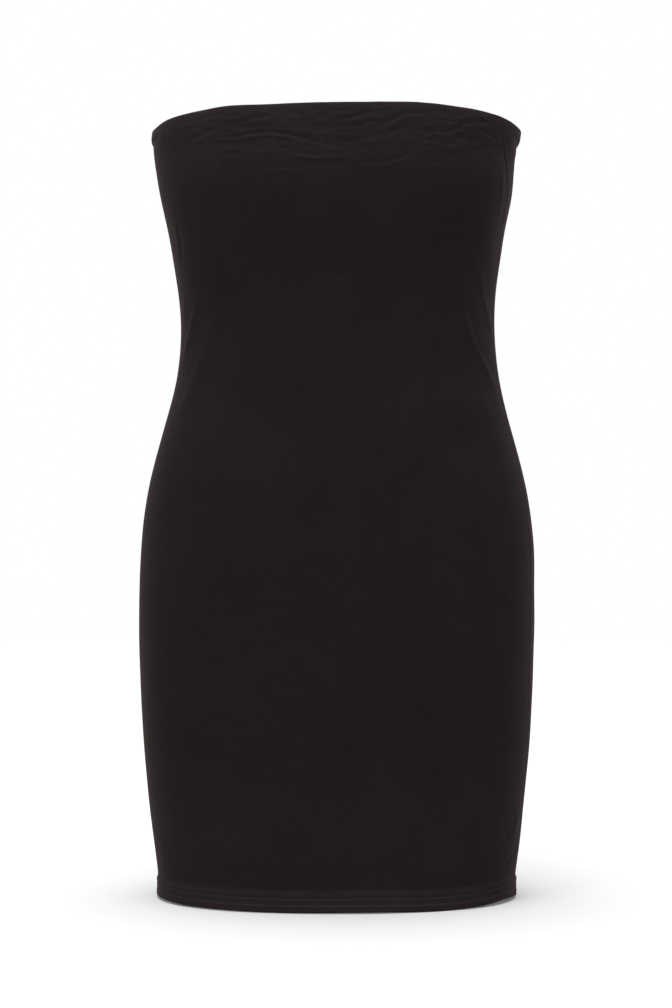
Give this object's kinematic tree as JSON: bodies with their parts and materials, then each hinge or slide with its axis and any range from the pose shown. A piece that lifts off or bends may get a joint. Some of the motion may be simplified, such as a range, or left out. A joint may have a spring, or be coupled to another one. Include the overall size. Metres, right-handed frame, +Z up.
{
  "type": "strapless bodycon mini dress",
  "caption": "Hollow strapless tube mini dress in stretch jersey, filled out as worn, with front and back panels, side seams, a turned top edge and a twin-stitched hem.",
  "frame": {"origin": "centre of the top opening, at the height of the top edge, where the dress is held up round the bust", "axes": "+Z up out of the top opening, -Y to the front of the dress, +X to the wearer's left"},
  "size_m": [0.3648, 0.2456, 0.7094],
  "materials": {
    "jersey": "soft black stretch jersey with a fine knit face, nearly matt, with a faint pale bloom where it turns away"
  },
  "bodies": {
    "root": {"front_panel": "jersey", "back_panel": "jersey"}
  },
  "joints": []
}
